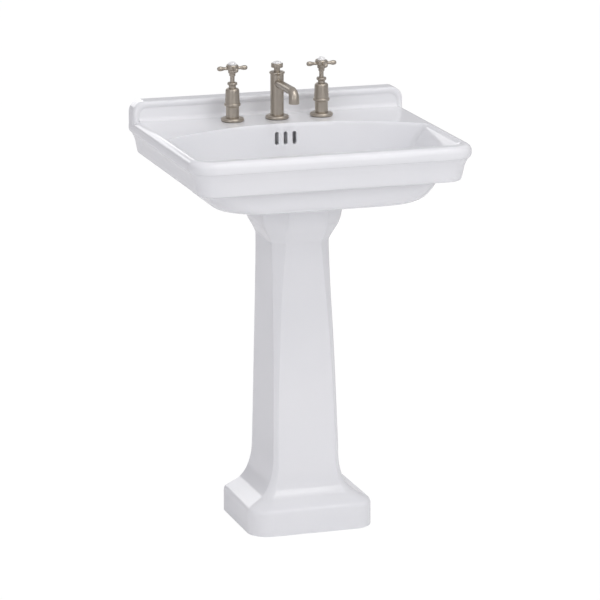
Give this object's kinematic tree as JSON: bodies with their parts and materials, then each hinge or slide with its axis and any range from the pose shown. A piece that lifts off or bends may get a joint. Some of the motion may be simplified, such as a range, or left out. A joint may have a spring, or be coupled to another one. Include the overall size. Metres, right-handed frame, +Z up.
{
  "type": "pedestal sink",
  "caption": "Rectangular white ceramic basin with a low upstand on a tapered pedestal, with a spout, two cross-handle valves and a pop-up waste.",
  "frame": {"origin": "on the floor, under the middle of the whole part", "axes": "+X to the user's right, +Y to the wall, +Z up"},
  "size_m": [0.61, 0.51, 0.9818],
  "materials": {
    "white_glaze": "gloss glaze",
    "white_index": "gloss glaze",
    "brushed_nickel": "brushed nickel plate",
    "plain_brass": "machined",
    "stainless": "satin",
    "white_plastic": "satin",
    "black_rubber": "matte"
  },
  "bodies": {
    "sink": {"aerator": "white_plastic", "basin": "white_glaze", "cold_base_flange": "brushed_nickel", "cold_bell": "brushed_nickel", "cold_cartridge": "plain_brass", "cold_gland_nut": "brushed_nickel", "cold_sleeve": "brushed_nickel", "cold_valve_body": "plain_brass", "deck_backnuts": "plain_brass", "deck_seals": "black_rubber", "deck_washers": "stainless", "hot_base_flange": "brushed_nickel", "hot_bell": "brushed_nickel", "hot_cartridge": "plain_brass", "hot_gland_nut": "brushed_nickel", "hot_sleeve": "brushed_nickel", "hot_valve_body": "plain_brass", "link_nuts": "plain_brass", "link_pipes": "plain_brass", "pedestal": "white_glaze", "pivot_nut": "brushed_nickel", "pivot_seat": "white_plastic", "rod_guide_tube": "plain_brass", "spout_base_flange": "brushed_nickel", "spout_collar": "brushed_nickel", "spout_column": "brushed_nickel", "spout_nozzle": "brushed_nickel", "spout_shank": "plain_brass", "spout_tee": "plain_brass", "trap_body": "white_plastic", "trap_cup": "white_plastic", "trap_nuts": "white_plastic", "trap_outlet_pipe": "white_plastic", "trap_seals": "black_rubber", "waste_backnut": "plain_brass", "waste_backnut_washer": "stainless", "waste_body": "brushed_nickel", "waste_flange": "brushed_nickel", "waste_lower_gasket": "black_rubber", "waste_seat_gasket": "black_rubber", "waste_tail": "white_plastic"},
    "hot_handle": {"hot_cross_handle": "brushed_nickel", "hot_handle_cap": "white_index", "hot_handle_screw": "stainless", "hot_spindle": "brushed_nickel"},
    "cold_handle": {"cold_cross_handle": "brushed_nickel", "cold_handle_cap": "white_index", "cold_handle_screw": "stainless", "cold_spindle": "brushed_nickel"},
    "lift": {"lift_rod": "brushed_nickel", "lift_knob": "brushed_nickel", "lift_knob_cap": "white_index", "linkage_strap": "stainless", "rod_clamp": "plain_brass", "clevis_screw": "stainless", "strap_clip": "stainless"},
    "pivot": {"pivot_rod": "stainless"},
    "plug": {"popup_plug": "brushed_nickel", "plug_seal": "black_rubber"}
  },
  "joints": [
    {"name": "hot_handle_turn", "type": "hinge", "parent": "sink", "child": "hot_handle", "pos_m": [-0.1, 0.162, 0.96], "axis": [0, 0, 1], "range_deg": [0, 90]},
    {"name": "cold_handle_turn", "type": "hinge", "parent": "sink", "child": "cold_handle", "pos_m": [0.1, 0.162, 0.96], "axis": [0, 0, -1], "range_deg": [0, 90]},
    {"name": "lift_slide", "type": "slide", "parent": "sink", "child": "lift", "axis": [0, 0, 1], "range_m": [0, 0.0394]},
    {"name": "pivot_tilt", "type": "hinge", "parent": "sink", "child": "pivot", "pos_m": [0, 0.054, 0.65], "axis": [1, 0, 0], "range_deg": [0, 20.05]},
    {"name": "plug_drop", "type": "slide", "parent": "sink", "child": "plug", "axis": [0, 0, -1], "range_m": [0, 0.00835]}
  ],
  "couplings": [
    {"joint": "pivot_tilt", "follows": "lift_slide", "rad_per_m": 8.8575},
    {"joint": "plug_drop", "follows": "lift_slide", "ratio": 0.2115}
  ]
}
